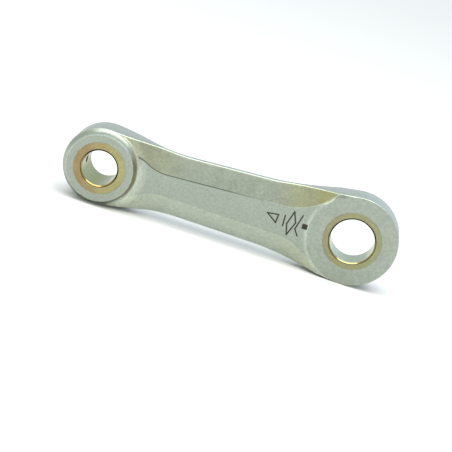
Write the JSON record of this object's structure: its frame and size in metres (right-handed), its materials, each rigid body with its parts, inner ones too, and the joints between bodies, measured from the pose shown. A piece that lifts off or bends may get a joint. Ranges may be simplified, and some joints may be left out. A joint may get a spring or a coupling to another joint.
{
  "type": "connecting rod",
  "caption": "Small-engine connecting rod: machined aluminium shank with knife edges, stepped small end, flat big end and a bronze bush pressed into each bore.",
  "frame": {"origin": "middle of the rod's overall length, on the line through both bores, halfway through its thickness", "axes": "+X from the small end to the big end, +Y along both bores away from the front face, +Z across the rod in the plane of its shank"},
  "size_m": [0.0388, 0.005, 0.0102],
  "materials": {
    "rod_aluminium": "fine machined and tumbled, satin",
    "small_bush_bronze": "turned and reamed bronze",
    "big_bush_bronze": "turned and reamed bronze"
  },
  "bodies": {
    "root": {"rod_body": "rod_aluminium", "small_end_bush": "small_bush_bronze", "big_end_bush": "big_bush_bronze"}
  },
  "joints": []
}
